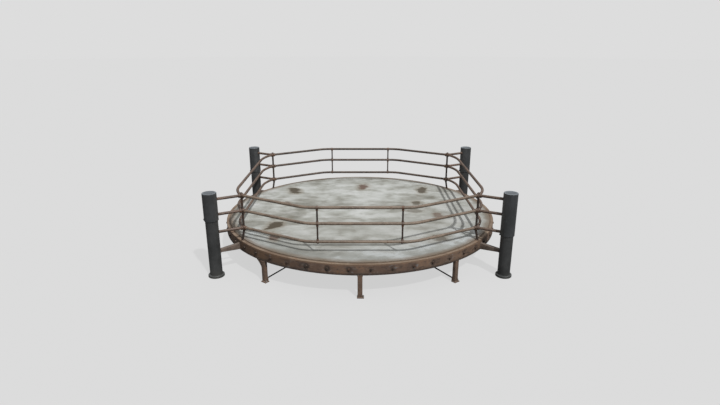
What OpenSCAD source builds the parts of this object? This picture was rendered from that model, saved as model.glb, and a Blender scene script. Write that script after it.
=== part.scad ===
// Playground merry go round: a steel deck that turns on a centre pivot inside a fixed rim,
// with a three-rail guard fence tied to four corner posts. Millimetres, +Z up, front is -Y,
// origin on the ground under the deck's axis.

/* [Rim] */
// Outer diameter of the rim band
rim_d = 3676; // [3000:4:4420]
// Height of the rim, from the lip's underside to the ring's top face
rim_h = 125; // [90:1:150]
// Thickness of the rim's band, angles and lip
rim_t = 8; // [6:1:10]
// Width of the ring that shows round the deck
ring_w = 48; // [44:1:60]
// How far the ring reaches in under the deck's edge
ring_lap = 12; // [8:1:20]
// Number of bolts round the rim band
rim_bolt_n = 48; // [32:4:64]
// Thread diameter of the rim bolts
rim_bolt_d = 16; // [12:2:20]

/* [Deck] */
// Height of the deck's top face above the ground
deck_z = 405; // [370:5:520]
// Thickness of the deck's plates
deck_t = 6; // [5:1:10]
// Vertical running gap between the deck's underside and the ring
deck_gap = 3; // [2:0.5:6]
// Gap between the two deck plates
seam_gap = 2; // [1:0.5:4]
// Depth of the radial arms
arm_h = 80; // [60:5:100]
// Width of the radial arms
arm_w = 50; // [46:2:60]
// Wall of the radial arms
arm_wall = 4; // [3:1:5]
// Distance from the deck's edge in to the edge ring
edge_inset = 84; // [70:2:120]
// Thread diameter of the deck bolts
deck_bolt_d = 10; // [8:1:11]

/* [Centre pivot] */
// Diameter of the spindle in its bush
spindle_d = 70; // [60:1:80]
// Wall of the bush
bush_wall = 10; // [6:1:12]
// Diameter of the thrust bearing's balls
ball_d = 20; // [18:1:22]
// Outer diameter of the hub
hub_d = 180; // [170:5:220]
// Diameter of the pedestal's base plate
base_d = 520; // [460:10:700]
// Diameter of the ground bolt circle in the base plate
base_pcd = 430; // [390:5:440]
// Diameter of the ground bolt holes
base_hole_d = 18; // [14:1:22]

/* [Legs] */
// Width of a leg's channel
leg_w = 54; // [50:2:70]
// Depth of a leg's channel, along the radius
leg_depth = 42; // [38:2:50]
// Angle between neighbouring legs of a row
leg_pitch = 37.6; // [30:0.2:42]
// Diameter of the tie rods
tie_d = 16; // [12:1:20]

/* [Posts] */
// Distance of a post's axis outside the rim
post_out = 313; // [260:1:420]
// Angle of a post's axis from the left to right line
post_angle = 36.7; // [35:0.1:38]
// Height of the posts
post_h = 1039; // [1010:1:1400]
// Outer diameter of a post's tube
post_d = 146; // [120:1:152]
// Wall of a post's tube
post_wall = 6; // [4:1:10]
// Wall of the sleeve on a post's upper part
sleeve_wall = 9.3; // [6:0.1:12]
// Heights of the sleeves' lower ends: front left, front right, back left, back right
sleeve_z = [706, 522, 640, 640]; // [500:1:730]

/* [Guard rails] */
// Outer diameter of the rail tubes
rail_d = 33.7; // [30:0.1:36]
// Wall of the rail tubes
rail_wall = 3.2; // [2:0.1:4]
// Height of the top rail's axis above the ground
rail_top_z = 954; // [900:2:980]
// Height of the middle rail's axis
rail_mid_z = 768; // [720:2:820]
// Height of the low rail's axis
rail_low_z = 551; // [530:2:600]
// Angle of a rail corner from the left to right line
corner_angle = 38.5; // [37:0.1:40]
// Distance of a rail corner inside the rim's outer edge
corner_in = 52; // [36:1:64]
// Distance of the front and back rails inside the rim's outer edge
front_in = 272; // [220:2:300]
// Distance of the side rails inside the rim's outer edge
side_in = 326; // [310:2:340]
// Distance from the middle to the uprights in the front and back rails
mid_x = 472; // [380:2:560]
// Bend radius of the front and back rails
front_bend_r = 400; // [200:10:500]
// Bend radius of the side rails near the corners
side_bend_r = 660; // [400:10:660]
// Distance along the side from a corner to where the side rail's bend turns
side_run = 198; // [195:1:215]
// Diameter of the corner uprights
corner_d = 26.9; // [22:0.1:30]
// Diameter of the uprights in the front and back rails
mid_d = 20; // [16:0.5:24]

/* [Hidden] */
$fn = 48;
fine = 144;
fit = 0.2;
play = 0.15;
past = 1;

// Rim and deck
rim_r = rim_d / 2;
deck_r = rim_r - ring_w;
deck_low = deck_z - deck_t;
ring_z = deck_low - deck_gap;
rim_z = ring_z - rim_h;
ring_in_r = deck_r - ring_lap;
band_r = rim_r - rim_t;
angle_r = band_r - fit;
angle_in_r = angle_r - rim_t;
band_low = rim_z + rim_t;
lip_out = 4;
joint_gap = 1;
bolt_pitch = 360 / rim_bolt_n;
band_turn = bolt_pitch * round(22.5 / bolt_pitch);
angle_turn = bolt_pitch * round(67.5 / bolt_pitch);
bolt_rise = 4;
bolt_z = rim_z + rim_h / 2 + bolt_rise;
angle_margin = 10;
angle_low = bolt_z - rim_bolt_d - angle_margin;
hole_play = 0.5;
washer_t = 3;
washer_share = 2;
head_share = 0.65;
nut_share = 0.8;
hex_share = 1.5;

// Legs
leg_spread = [-leg_pitch, 0, leg_pitch];
leg_wall = 5;
leg_out = 6;
leg_out_r = rim_r + leg_out;
leg_in_r = leg_out_r - leg_depth;
head_t = 8;
head_z = rim_z - head_t;
head_in = 6;
head_set = 2;
head_bolt_d = 10;
head_bolt_in = 11;
head_bolt_r = leg_in_r + head_bolt_in;
head_bolt_y = 12;
foot_t = 10;
foot_side = 23;
foot_w = leg_w + foot_side;
foot_shift = 5.5;
foot_depth = 62;
foot_out = 14;
foot_out_r = leg_out_r + foot_out;
anchor_d = 8;
anchor_side = 9;
anchor_y = leg_w / 2 + anchor_side;
anchor_in = 6;
anchor_r = leg_out_r - anchor_in;
anchor_h = 34;
gusset_w = 84;
gusset_h = 96;
gusset_t = 8;
gusset_in = 6;

// Centre pivot
base_t = 16;
column_d = 219;
column_wall = 8;
cap_plate_d = 260;
flange_d = 240;
pedestal_most = 216;
pivot_room = 183;
pedestal_h = min(pedestal_most, deck_low - pivot_room);
column_top = pedestal_h - base_t;
flange_t = 16;
race_z = pedestal_h + flange_t;
race_t = 12;
groove_depth = ball_d / 5;
race_step = ball_d - 2 * groove_depth;
race_up_z = race_z + race_t + race_step;
ball_z = race_z + race_t + race_step / 2;
ball_clear = 4;
ball_pcd = spindle_d + 2 * ball_d + ball_clear;
ball_pitch = 1.25 * ball_d;
ball_n = floor(PI * ball_pcd / ball_pitch);
race_share = 1.8;
race_d = ball_pcd + race_share * ball_d;
ball_play = 0.3;
cage_t = race_step / 2;
cage_share = 1.3;
cage_w = cage_share * ball_d;
run_play = 0.05;
hub_z = race_up_z + race_t;
nut_room = 33;
nut_floor = deck_low - nut_room;
nut_room_d = 124;
thread_step = 7;
thread_d = spindle_d - 2 * thread_step;
thread_past = 3;
nut_gap = 1;
nut_washer_d = 112;
nut_washer_t = 6;
nut_h = 16;
nut_af = 84;
arm_n = 8;
arm_z = deck_low - arm_h;
hub_flange_d = 420;
hub_flange_t = 12;
edge_r = deck_r - edge_inset;
edge_t = 8;
arm_end_r = edge_r - edge_t;
deck_bolt_y = 13;
deck_bolt_head = 1.9 * deck_bolt_d;
deck_bolt_sink = 0.45 * deck_bolt_d;
deck_bolt_l = 26;
row_from_hub = 260;
row_from_edge = 40;
bolt_row_in = hub_d / 2 + row_from_hub;
bolt_row_out = arm_end_r - row_from_edge;
bolt_rows = 4;

// Tie rods
lug_t = 8;
lug_h = 52;
boss_d = 40;
boss_l = 26;
boss_sink = 8;
tie_leg_r = leg_in_r - lug_t / 2;
tie_leg_z = 32;
tie_hub_r = column_d / 2 + boss_sink;
tie_hub_drop = 27;
tie_hub_z = column_top - tie_hub_drop;
tie_tilt = atan2(tie_hub_z - tie_leg_z, tie_leg_r - tie_hub_r);
tie_span = norm([tie_hub_z - tie_leg_z, tie_leg_r - tie_hub_r]);
tie_tail = 26;
tie_nut_in = 2;

// Posts
CORNERS = [[-1, -1], [1, -1], [-1, 1], [1, 1]];
post_r = rim_r + post_out;
post_x = post_r * cos(post_angle);
post_y = post_r * sin(post_angle);
sleeve_d = post_d + 2 * (sleeve_wall + fit);
cap_t = 12;
cap_edge = 5;
collar_w = 22;
collar_d = post_d + 2 * collar_w;
collar_h = 28;
collar_edge = 9;
stop_d = 20;
stop_l = 9;
stop_sink = 3;
post_arm_w = 44;
post_arm_wall = 5;
post_arm_rim_h = 78;
post_arm_post_h = 38;
post_arm_rise = 20;

// Rails
levels = [rail_top_z, rail_mid_z, rail_low_z];
corner_r = rim_r - corner_in;
corner = -corner_r * [cos(corner_angle), sin(corner_angle)];
front_y = rim_r - front_in;
side_x = rim_r - side_in;
seam = 0.1;
bead_h = 1.2;
bead_l = 9;
socket_d = 42.4;
socket_len = 40;
socket_start = 23;
end_gap = 1;
rail_start = socket_start + end_gap;
knuckle_d = 46;
knuckle_h = 50;
knuckle_ball = 55;
clamp_w = 24;
clamp_d = 44;
clamp_socket_wall = 4;
clamp_socket_d = mid_d + 2 * clamp_socket_wall;
clamp_socket_top = 34;
clamp_socket_start = 20;
spike = 36;
kick_below = 14;
kick_z = rail_low_z - knuckle_h / 2 - kick_below;
kick_bead_l = 12;
kick_bead_h = 2.5;
foot_ring_r = rim_r - ring_w / 2;
weld_w = 5;
weld_d = corner_d + 2 * weld_w;
weld_h = 6;

function unit(a) = [cos(a), sin(a)];
function heading(a, b) = atan2(b[1] - a[1], b[0] - a[0]);
function wrap(a) = a > 180 ? a - 360 : a < -180 ? a + 360 : a;
function mirror_x(p) = [-p[0], p[1]];
function mirror_y(p) = [p[0], -p[1]];

// Length from the bend's middle point to its end on a front rail, found by repeated tries
function bend_set(set, tries) =
  tries == 0 ? set : bend_set(front_bend_r * tan(atan2(front_rise, front_room - set) / 2), tries - 1);

// Front rail's path from its left corner to its right one, and left rail's from front to back
front_rise = front_y + corner[1];
clamp_half = max(clamp_w, clamp_socket_d) / 2;
front_room = -corner[0] - mid_x - clamp_half - bead_l / 2 - end_gap;
front_vertex = [corner[0] + front_room - bend_set(0, 12), -front_y];
front_heading = heading(corner, front_vertex);
front_start = corner + rail_start * unit(front_heading);
front_path = [front_start, front_vertex, mirror_x(front_vertex), mirror_x(front_start)];
side_vertex = [-side_x, corner[1] + side_run];
side_heading = heading(corner, side_vertex);
side_start = corner + rail_start * unit(side_heading);
side_path = [side_start, side_vertex, mirror_y(side_vertex), mirror_y(side_start)];
stub_heading = heading(corner, [-post_x, -post_y]);
stub_len = norm([post_x + corner[0], post_y + corner[1]]) - rail_start;

// Flips its child over when asked
module mirror_if(yes, v) {
  if (yes)
    mirror(v) children();
  else
    children();
}

// Puts a child made for the front left corner at corner c
module at_corner(c) {
  mirror_if(c[0] > 0, [1, 0, 0])
    mirror_if(c[1] > 0, [0, 1, 0])
      children();
}

// Sweeps a flat profile round the Z axis through a quarter turn, less the gap at the joint
module quarter(start) {
  gap = joint_gap / rim_r * 180 / PI;
  rotate([0, 0, start + gap / 2])
    rotate_extrude(angle = 90 - gap, $fn = fine)
      children();
}

// Copies a child to the rim bolts between two angles
module at_rim_bolts(from = 0, to = 360) {
  for (i = [round(from / bolt_pitch):round(to / bolt_pitch) - 1])
    rotate([0, 0, (i + 0.5) * bolt_pitch])
      translate([rim_r, 0, bolt_z])
        children();
}

// Copies a child to the legs, with +X pointing outwards from the deck's axis
module at_legs() {
  for (row = [-90, 90])
    for (a = leg_spread)
      rotate([0, 0, row + a])
        children();
}

module at_head_bolts() {
  for (y = [-head_bolt_y, head_bolt_y])
    translate([head_bolt_r, y, 0])
      children();
}

// Copies a child to the deck bolts, on the deck's top face
module at_deck_bolts() {
  for (k = [0:arm_n - 1])
    for (i = [0:bolt_rows - 1])
      for (y = [-deck_bolt_y, deck_bolt_y])
        rotate([0, 0, k * 360 / arm_n])
          translate([bolt_row_in + i * (bolt_row_out - bolt_row_in) / (bolt_rows - 1), y, deck_z])
            children();
}

// Puts a child on a tie rod's axis, with +X pointing along the rod from the leg to the pedestal
module on_tie() {
  translate([tie_leg_r, 0, tie_leg_z])
    rotate([0, 0, 180])
      rotate([0, -tie_tilt, 0])
        children();
}

module tube_section(d, wall) {
  difference() {
    circle(d = d);
    circle(d = d - 2 * wall);
  }
}

// Rail tube between two points of a level path, held back at both ends by half the seam
module straight(a, b) {
  translate([a[0], a[1], 0])
    rotate([0, 0, heading(a, b)])
      rotate([0, 90, 0])
        translate([0, 0, seam])
          linear_extrude(norm(b - a) - 2 * seam)
            tube_section(rail_d, rail_wall);
}

// Weld bead round a rail tube at a point of its path, where a bend meets a straight length
module bead(p, a) {
  translate([p[0], p[1], 0])
    rotate([0, 0, a])
      rotate([0, 90, 0])
        linear_extrude(bead_l, center = true)
          tube_section(rail_d + 2 * bead_h, bead_h + rail_wall / 2);
}

// Rail tube along a level path of four points, its two inner points bent to radius r
module rail_tube(p, r) {
  dir = [for (i = [0:2]) heading(p[i], p[i + 1])];
  turn = [for (i = [0, 1]) wrap(dir[i + 1] - dir[i])];
  set = [for (t = turn) r * tan(abs(t) / 2)];
  into = [for (i = [0, 1]) p[i + 1] - set[i] * unit(dir[i])];
  out = [for (i = [0, 1]) p[i + 1] + set[i] * unit(dir[i + 1])];
  straight(p[0], into[0]);
  straight(out[0], into[1]);
  straight(out[1], p[3]);
  for (i = [0, 1]) {
    side = sign(turn[i]);
    centre = into[i] + side * r * unit(dir[i] + 90);
    translate([centre[0], centre[1], 0])
      rotate([0, 0, side > 0 ? dir[i] - 90 : dir[i] + 90 + turn[i]])
        rotate_extrude(angle = abs(turn[i]))
          translate([r, 0])
            tube_section(rail_d, rail_wall);
    bead(into[i], dir[i]);
    bead(out[i], dir[i + 1]);
  }
}

// Hex bolt along X with its head and washer outside x = 0 and its shank inwards
module hex_bolt(d, reach) {
  rotate([0, 90, 0]) {
    cylinder(d = washer_share * d, h = washer_t);
    translate([0, 0, washer_t])
      cylinder(d = hex_share * d / cos(30), h = head_share * d, $fn = 6);
    translate([0, 0, -reach])
      cylinder(d = d, h = reach + washer_t);
  }
}

// Hex nut along X, from x = -start inwards
module hex_nut(d, start) {
  rotate([0, 90, 0])
    translate([0, 0, -start - nut_share * d])
      difference() {
        cylinder(d = hex_share * d / cos(30), h = nut_share * d, $fn = 6);
        translate([0, 0, -past])
          cylinder(d = d + 2 * fit, h = nut_share * d + 2 * past);
      }
}

// ---- Rim ----

module rim_band(k) {
  start = band_turn + 90 * k;
  color("#6e5142")
    difference() {
      quarter(start)
        translate([band_r, band_low])
          square([rim_t, ring_z - rim_t - band_low]);
      at_rim_bolts(start, start + 90)
        rotate([0, 90, 0])
          cylinder(d = rim_bolt_d + 2 * hole_play, h = 4 * rim_t, center = true);
    }
}

module rim_angle(k) {
  start = angle_turn + 90 * k;
  color("#8c7460")
    difference() {
      quarter(start)
        polygon([
          [ring_in_r, ring_z - rim_t],
          [angle_in_r, ring_z - rim_t],
          [angle_in_r, angle_low],
          [angle_r, angle_low],
          [angle_r, ring_z - rim_t],
          [rim_r, ring_z - rim_t],
          [rim_r, ring_z],
          [ring_in_r, ring_z]
        ]);
      at_rim_bolts(start, start + 90)
        rotate([0, 90, 0])
          cylinder(d = rim_bolt_d + 2 * hole_play, h = 6 * rim_t, center = true);
    }
}

module rim_lip() {
  color("#4a3a31")
    difference() {
      for (k = [0:3])
        quarter(angle_turn + 90 * k)
          translate([ring_in_r, rim_z])
            square([rim_r + lip_out - ring_in_r, rim_t]);
      at_legs()
        at_head_bolts()
          translate([0, 0, head_z])
            cylinder(d = head_bolt_d + 2 * hole_play, h = rim_t + head_t + past);
    }
}

module rim_bolts() {
  grip = rim_r - angle_in_r + fit;
  color("#55463c") {
    at_rim_bolts()
      hex_bolt(rim_bolt_d, grip + rim_bolt_d);
    at_rim_bolts()
      hex_nut(rim_bolt_d, grip);
  }
}

// ---- Legs and ties ----

// One leg at angle a; gusset_side is 1 or -1 for a gusset on that side, 0 for none
module leg(a, gusset_side) {
  color("#735a48")
    rotate([0, 0, a])
      difference() {
        union() {
          difference() {
            translate([leg_in_r, -leg_w / 2, foot_t])
              cube([leg_depth, leg_w, head_z - foot_t]);
            translate([leg_in_r - past, -leg_w / 2 + leg_wall, foot_t - past])
              cube([leg_depth - leg_wall + past, leg_w - 2 * leg_wall, head_z - foot_t + 2 * past]);
          }
          translate([leg_in_r - head_in, -leg_w / 2, head_z])
            cube([leg_depth + head_in - head_set, leg_w, head_t]);
          translate([foot_out_r - foot_depth, foot_shift - foot_w / 2, 0])
            cube([foot_depth, foot_w, foot_t]);
          translate([leg_in_r - lug_t, -leg_w / 2, 0])
            cube([lug_t, leg_w, lug_h]);
          if (gusset_side != 0)
            translate([leg_out_r - gusset_in - gusset_t, gusset_side * leg_w / 2, rim_z])
              rotate([0, 90, 0])
                linear_extrude(gusset_t)
                  polygon([[0, 0], [0, gusset_side * gusset_w], [gusset_h, 0]]);
        }
        at_head_bolts()
          translate([0, 0, head_z - past])
            cylinder(d = head_bolt_d + 2 * hole_play, h = head_t + 2 * past);
        translate([anchor_r, anchor_y, -past])
          cylinder(d = anchor_d + 2 * hole_play, h = foot_t + 2 * past);
        on_tie()
          rotate([0, 90, 0])
            cylinder(d = tie_d + 2 * hole_play, h = 4 * lug_t, center = true);
      }
}

module leg_bolts() {
  color("#4d4038")
    at_legs()
      at_head_bolts()
        translate([0, 0, head_z])
          rotate([0, 90, 0]) {
            hex_bolt(head_bolt_d, head_t + rim_t + head_bolt_d);
            hex_nut(head_bolt_d, head_t + rim_t);
          }
}

module leg_anchors() {
  color("#8d8f90")
    at_legs()
      translate([anchor_r, anchor_y, 0]) {
        cylinder(d = anchor_d, h = anchor_h);
        translate([0, 0, foot_t])
          cylinder(d = washer_share * anchor_d, h = washer_t);
        translate([0, 0, foot_t + washer_t])
          cylinder(d = hex_share * anchor_d / cos(30), h = nut_share * anchor_d, $fn = 6);
      }
}

module tie_rods() {
  color("#242322")
    at_legs()
      on_tie() {
        translate([-tie_tail, 0, 0])
          rotate([0, 90, 0])
            cylinder(d = tie_d, h = tie_tail + tie_span);
        translate([-lug_t - nut_share * tie_d, 0, 0])
          hex_nut(tie_d, -nut_share * tie_d - tie_nut_in);
      }
}

// ---- Posts ----

module post_tube(i) {
  color("#3c3f43")
    translate([CORNERS[i][0] * post_x, CORNERS[i][1] * post_y, 0])
      linear_extrude(post_h - cap_t)
        tube_section(post_d, post_wall);
}

module post_sleeves() {
  color("#3a3d41")
    for (i = [0:3])
      translate([CORNERS[i][0] * post_x, CORNERS[i][1] * post_y, sleeve_z[i]])
        difference() {
          union() {
            cylinder(d = sleeve_d, h = post_h - cap_t - sleeve_z[i]);
            translate([-sleeve_d / 2 - stop_l + stop_sink, 0, stop_d / 2])
              rotate([0, 90, 0])
                cylinder(d = stop_d, h = stop_l);
          }
          translate([0, 0, -past])
            cylinder(d = post_d + 2 * fit, h = post_h);
        }
}

module post_caps() {
  color("#6c7278")
    for (c = CORNERS)
      translate([c[0] * post_x, c[1] * post_y, post_h - cap_t])
        rotate_extrude() {
          square([sleeve_d / 2 - cap_edge, cap_t]);
          square([sleeve_d / 2, cap_t - cap_edge]);
          translate([sleeve_d / 2 - cap_edge, cap_t - cap_edge])
            intersection() {
              circle(r = cap_edge);
              square(cap_edge);
            }
        }
}

module post_feet() {
  ring_w = (collar_d - post_d) / 2 - fit;
  color("#53575a")
    for (c = CORNERS)
      translate([c[0] * post_x, c[1] * post_y, 0])
        rotate_extrude()
          translate([post_d / 2 + fit, 0]) {
            square([ring_w, collar_h - collar_edge]);
            square([ring_w - collar_edge, collar_h]);
            translate([ring_w - collar_edge, collar_h - collar_edge])
              intersection() {
                circle(r = collar_edge);
                square(collar_edge);
              }
          }
}

// Side view of a post arm, from the rim outwards, drawn smaller by its wall where asked
module arm_outline(inset) {
  low = rim_z + inset;
  polygon([
    [rim_r - past, low],
    [post_r, low + post_arm_rise],
    [post_r, low + post_arm_rise + post_arm_post_h - 2 * inset],
    [rim_r - past, low + post_arm_rim_h - 2 * inset]
  ]);
}

module post_arms() {
  color("#7a6352")
    for (c = CORNERS)
      at_corner(c)
        difference() {
          rotate([0, 0, 180 + post_angle])
            rotate([90, 0, 0])
              difference() {
                translate([0, 0, -post_arm_w / 2])
                  linear_extrude(post_arm_w)
                    arm_outline(0);
                translate([0, 0, post_arm_wall - post_arm_w / 2])
                  linear_extrude(post_arm_w - 2 * post_arm_wall)
                    arm_outline(post_arm_wall);
              }
          cylinder(r = rim_r + fit, h = deck_z, $fn = fine);
          cylinder(r = rim_r + lip_out + fit, h = band_low + fit, $fn = fine);
          translate([-post_x, -post_y, 0])
            cylinder(d = post_d + 2 * fit, h = deck_z);
        }
}

module post_stubs() {
  color("#6b574b")
    for (i = [0:3])
      for (z = levels)
        at_corner(CORNERS[i])
          difference() {
            translate([corner[0], corner[1], z])
              rotate([0, 0, stub_heading])
                rotate([0, 90, 0])
                  translate([0, 0, rail_start])
                    linear_extrude(stub_len)
                      tube_section(rail_d, rail_wall);
            translate([-post_x, -post_y, z - rail_d])
              cylinder(d = (z + rail_d / 2 > sleeve_z[i] ? sleeve_d : post_d) + 2 * fit, h = 2 * rail_d);
          }
}

// ---- Guard rails ----

module front_rail(z) {
  color("#7d6557")
    translate([0, 0, z])
      rail_tube(front_path, front_bend_r);
}

module back_rail(z) {
  color("#5d4a40")
    mirror([0, 1, 0])
      translate([0, 0, z])
        rail_tube(front_path, front_bend_r);
}

module left_rail(z) {
  color("#776054")
    translate([0, 0, z])
      rail_tube(side_path, side_bend_r);
}

module right_rail(z) {
  color("#776054")
    mirror([1, 0, 0])
      translate([0, 0, z])
        rail_tube(side_path, side_bend_r);
}

// Upright at a rail corner: straight through the three fittings, then out to the ring
module corner_stanchions() {
  drop = kick_z - ring_z;
  kick = foot_ring_r - corner_r;
  tilt = atan2(kick, drop);
  color("#5f4b40")
    for (c = CORNERS)
      at_corner(c)
        rotate([0, 0, 180 + corner_angle])
          intersection() {
            union() {
              translate([corner_r, 0, kick_z])
                cylinder(d = corner_d, h = rail_top_z + spike - kick_z);
              translate([corner_r, 0, kick_z - kick_bead_l / 2])
                cylinder(d = corner_d + 2 * kick_bead_h, h = kick_bead_l);
              translate([corner_r, 0, kick_z])
                rotate([0, 180 - tilt, 0])
                  cylinder(d = corner_d, h = norm([drop, kick]) + corner_d);
              translate([foot_ring_r, 0, ring_z])
                cylinder(d = weld_d, h = weld_h);
            }
            translate([0, -corner_r, ring_z])
              cube([2 * corner_r, 2 * corner_r, post_h]);
          }
}

module corner_fitting() {
  difference() {
    union() {
      cylinder(d = knuckle_d, h = knuckle_h, center = true);
      sphere(d = knuckle_ball);
      for (a = [front_heading, side_heading, stub_heading])
        rotate([0, 0, a])
          rotate([0, 90, 0])
            cylinder(d = socket_d, h = socket_len);
    }
    cylinder(d = corner_d + 2 * play, h = 2 * knuckle_h, center = true);
    for (a = [front_heading, side_heading, stub_heading])
      rotate([0, 0, a])
        rotate([0, 90, 0])
          translate([0, 0, socket_start])
            cylinder(d = rail_d + 2 * play, h = socket_len);
  }
}

module corner_fittings() {
  color("#6a5346")
    for (c = CORNERS)
      for (z = levels)
        at_corner(c)
          translate([corner[0], corner[1], z])
            corner_fitting();
}

// Copies a child to the four places of the thin uprights
module at_mid_uprights() {
  for (x = [-mid_x, mid_x])
    for (y = [-front_y, front_y])
      translate([x, y, 0])
        children();
}

module mid_stanchions() {
  end = clamp_socket_start + end_gap;
  color("#584439")
    at_mid_uprights()
      for (span = [[rail_low_z, rail_mid_z], [rail_mid_z, rail_top_z]])
        translate([0, 0, span[0] + end])
          cylinder(d = mid_d, h = span[1] - span[0] - 2 * end);
}

// Clamp round a rail; sides lists 1 for a socket above the rail and -1 for one below
module stanchion_clamp(sides) {
  difference() {
    union() {
      rotate([0, 90, 0])
        cylinder(d = clamp_d, h = clamp_w, center = true);
      for (s = sides)
        mirror_if(s < 0, [0, 0, 1])
          cylinder(d = clamp_socket_d, h = clamp_socket_top);
    }
    rotate([0, 90, 0])
      cylinder(d = rail_d + 2 * play, h = 2 * clamp_w, center = true);
    for (s = sides)
      mirror_if(s < 0, [0, 0, 1])
        translate([0, 0, clamp_socket_start])
          cylinder(d = mid_d + 2 * play, h = clamp_socket_top);
  }
}

module stanchion_clamps() {
  color("#665044")
    at_mid_uprights() {
      translate([0, 0, rail_low_z])
        stanchion_clamp([1]);
      translate([0, 0, rail_mid_z])
        stanchion_clamp([1, -1]);
      translate([0, 0, rail_top_z])
        stanchion_clamp([-1]);
    }
}

// ---- Centre pivot ----

module pedestal() {
  color("#4b4f52")
    difference() {
      union() {
        cylinder(d = base_d, h = base_t);
        translate([0, 0, base_t])
          linear_extrude(column_top - base_t)
            tube_section(column_d, column_wall);
        translate([0, 0, column_top])
          cylinder(d = cap_plate_d, h = base_t);
        at_legs()
          on_tie()
            translate([tie_span - boss_l + boss_sink, 0, 0])
              rotate([0, 90, 0])
                cylinder(d = boss_d, h = boss_l);
      }
      for (a = [45:90:315])
        rotate([0, 0, a])
          translate([base_pcd / 2, 0, -past])
            cylinder(d = base_hole_d, h = base_t + 2 * past);
      at_legs()
        on_tie()
          translate([tie_span - 2 * boss_l, 0, 0])
            rotate([0, 90, 0])
              cylinder(d = tie_d + 2 * fit, h = 2 * boss_l + fit);
      translate([0, 0, base_t])
        cylinder(d = column_d - 2 * column_wall, h = column_top - base_t);
    }
}

module spindle() {
  color("#7b7f82")
    translate([0, 0, pedestal_h]) {
      cylinder(d = flange_d, h = flange_t);
      cylinder(d = spindle_d, h = nut_floor + nut_gap - pedestal_h);
      cylinder(d = thread_d, h = nut_floor + nut_gap + nut_washer_t + nut_h + thread_past - pedestal_h);
    }
}

// Race ring with its lower face at height z, and the balls' groove cut out of it
module thrust_race(z) {
  color("#9a9da0")
    difference() {
      translate([0, 0, z])
        rotate_extrude()
          translate([spindle_d / 2 + 2 * fit, 0])
            square([(race_d - spindle_d) / 2 - 2 * fit, race_t]);
      translate([0, 0, ball_z])
        rotate_extrude()
          translate([ball_pcd / 2, 0])
            circle(d = ball_d + 2 * ball_play);
    }
}

module thrust_balls() {
  color("#c2c4c6")
    for (i = [0:ball_n - 1])
      rotate([0, 0, i * 360 / ball_n])
        translate([ball_pcd / 2, 0, ball_z])
          sphere(d = ball_d);
}

module ball_cage() {
  color("#a98b52")
    translate([0, 0, ball_z - cage_t / 2])
      difference() {
        linear_extrude(cage_t)
          tube_section(ball_pcd + cage_w, cage_w);
        for (i = [0:ball_n - 1])
          rotate([0, 0, i * 360 / ball_n])
            translate([ball_pcd / 2, 0, -past])
              cylinder(d = ball_d + 2 * ball_play, h = cage_t + 2 * past);
      }
}

module hub_bush() {
  color("#b08d4f")
    translate([0, 0, hub_z])
      linear_extrude(nut_floor - hub_z)
        tube_section(spindle_d + 2 * (bush_wall + run_play), bush_wall);
}

module spindle_nut() {
  color("#6f7375")
    translate([0, 0, nut_floor + nut_gap])
      difference() {
        union() {
          cylinder(d = nut_washer_d, h = nut_washer_t);
          translate([0, 0, nut_washer_t])
            cylinder(d = nut_af / cos(30), h = nut_h, $fn = 6);
        }
        translate([0, 0, -past])
          cylinder(d = thread_d + 2 * fit, h = nut_room);
      }
}

// ---- Turning deck ----

module deck_hub() {
  color("#5b5f62")
    difference() {
      union() {
        translate([0, 0, hub_z])
          cylinder(d = hub_d, h = deck_low - hub_z);
        translate([0, 0, arm_z - hub_flange_t])
          cylinder(d = hub_flange_d, h = hub_flange_t);
      }
      translate([0, 0, hub_z - past])
        cylinder(d = spindle_d + 2 * (bush_wall + run_play) + 2 * fit, h = deck_z);
      translate([0, 0, nut_floor])
        cylinder(d = nut_room_d, h = nut_room + past);
    }
}

module deck_arms() {
  color("#64605a")
    difference() {
      for (k = [0:arm_n - 1])
        rotate([0, 0, k * 360 / arm_n])
          translate([0, -arm_w / 2, arm_z])
            difference() {
              cube([edge_r, arm_w, arm_h]);
              translate([-past, arm_wall, arm_wall])
                cube([edge_r + 2 * past, arm_w - 2 * arm_wall, arm_h - 2 * arm_wall]);
            }
      translate([0, 0, arm_z - past])
        cylinder(r = hub_d / 2 + fit, h = arm_h + 2 * past);
      translate([0, 0, arm_z - past])
        linear_extrude(arm_h + 2 * past)
          difference() {
            circle(r = rim_r, $fn = fine);
            circle(r = arm_end_r - fit, $fn = fine);
          }
      at_deck_bolts()
        translate([0, 0, -deck_bolt_l - past])
          cylinder(d = deck_bolt_d + 2 * hole_play, h = deck_bolt_l);
    }
}

module deck_edge_ring() {
  color("#5f5a53")
    translate([0, 0, arm_z])
      difference() {
        cylinder(r = edge_r, h = arm_h, $fn = fine);
        translate([0, 0, -past])
          cylinder(r = arm_end_r, h = arm_h + 2 * past, $fn = fine);
      }
}

// Half of the deck, on the front side for side -1 and the back for side 1
module deck_plate(side) {
  color("#b5bab4")
    difference() {
      translate([0, 0, deck_low])
        cylinder(r = deck_r, h = deck_t, $fn = fine);
      translate([-rim_r, side < 0 ? -seam_gap / 2 : seam_gap / 2 - rim_d, deck_low - past])
        cube([rim_d, rim_d, deck_t + 2 * past]);
      at_deck_bolts() {
        translate([0, 0, -deck_t - past])
          cylinder(d = deck_bolt_d + 2 * hole_play, h = deck_t + 2 * past);
        translate([0, 0, -deck_bolt_sink])
          cylinder(
            d1 = deck_bolt_d + 2 * hole_play,
            d2 = deck_bolt_head + 2 * hole_play,
            h = deck_bolt_sink + fit
          );
      }
    }
}

module deck_bolts() {
  color("#8f9490")
    at_deck_bolts() {
      translate([0, 0, -deck_bolt_l])
        cylinder(d = deck_bolt_d, h = deck_bolt_l - deck_bolt_sink);
      translate([0, 0, -deck_bolt_sink])
        cylinder(d1 = deck_bolt_d, d2 = deck_bolt_head, h = deck_bolt_sink);
    }
}

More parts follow.
